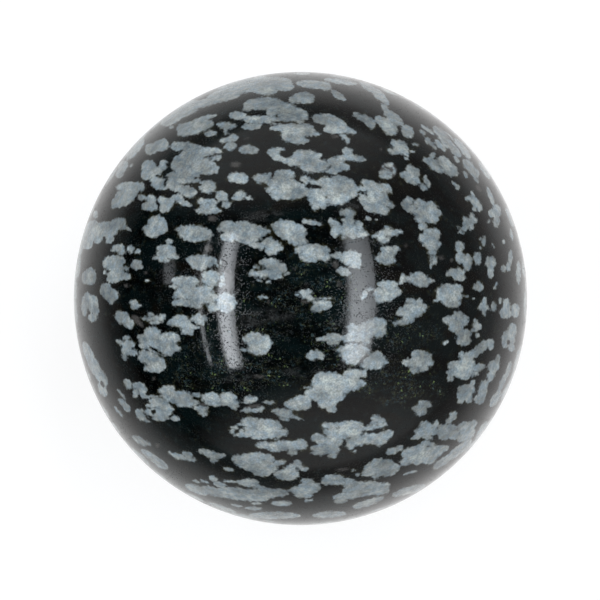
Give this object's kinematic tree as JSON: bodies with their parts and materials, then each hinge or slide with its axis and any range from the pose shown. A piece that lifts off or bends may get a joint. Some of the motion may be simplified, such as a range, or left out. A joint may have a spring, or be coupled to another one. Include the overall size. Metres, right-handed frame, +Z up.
{
  "type": "snowflake obsidian sphere",
  "caption": "Polished sphere of black volcanic glass with pale grey snowflake spherulites, an ornament that rests on a small flat at its lowest point.",
  "frame": {"origin": "middle of the small rest flat at the sphere's lowest point, where it touches the surface it stands on", "axes": "+Z up through the sphere's centre; the view in the picture looks down on the stone, nearly along -Z, with +X to the right and +Y up the picture"},
  "size_m": [0.05, 0.05, 0.0498],
  "materials": {
    "snowflake_obsidian": "polished to a glassy gloss"
  },
  "bodies": {
    "root": {"obsidian_sphere": "snowflake_obsidian"}
  },
  "joints": []
}
